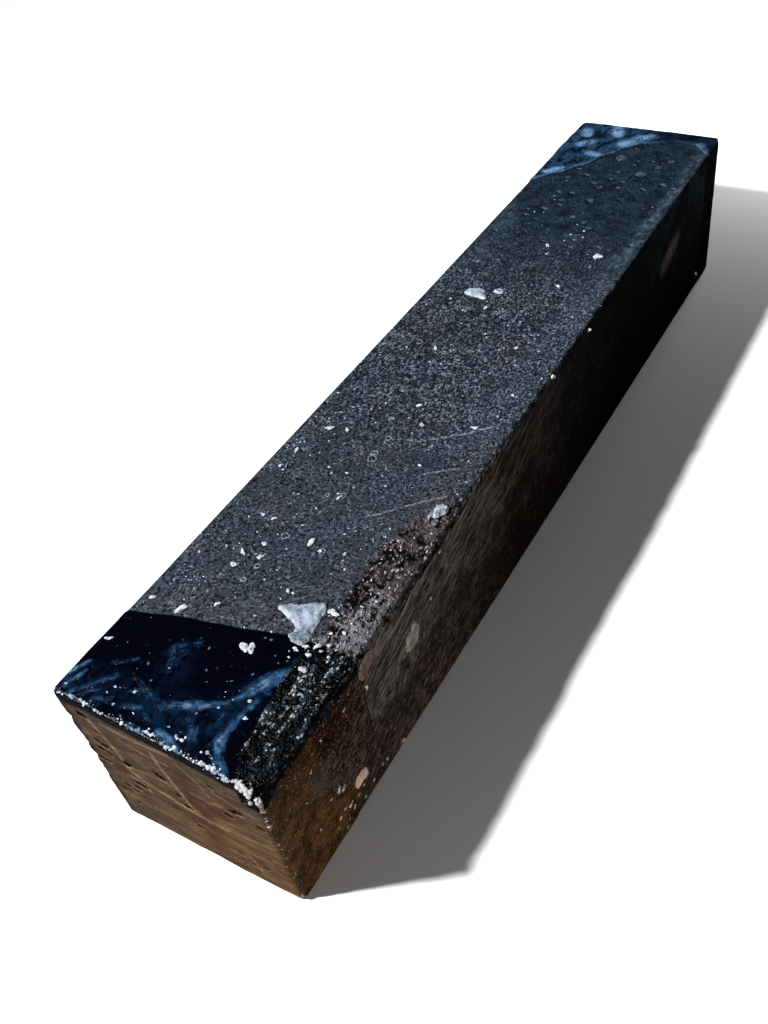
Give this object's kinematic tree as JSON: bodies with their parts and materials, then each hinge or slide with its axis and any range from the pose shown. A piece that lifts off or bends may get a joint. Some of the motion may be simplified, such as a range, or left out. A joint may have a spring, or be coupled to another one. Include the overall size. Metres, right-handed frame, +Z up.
{
  "type": "turning blank",
  "caption": "Short square bar of rough-sawn dark hardwood for turning, a long edge worn away, with a glossy wax coat over each end and loose wax flakes on its faces.",
  "frame": {"origin": "bottom centre of the bar's box, on the surface it lies on", "axes": "+Y along the bar from the near end to the far end, +X across it towards the worn arris, +Z up"},
  "size_m": [0.0516, 0.2728, 0.0507],
  "materials": {
    "ebony": "rough-sawn, dry and dusty",
    "end_wax": "glossy, smeared, lightly blistered wax",
    "white_wax": "frosted wax"
  },
  "bodies": {
    "root": {"ebony_billet": "ebony", "wax_near_end": "end_wax", "wax_far_end": "end_wax", "wax_patch": "white_wax", "wax_flake_large": "white_wax", "wax_flake_small": "white_wax", "wax_crumb": "white_wax", "wax_flake_side": "white_wax"}
  },
  "joints": []
}
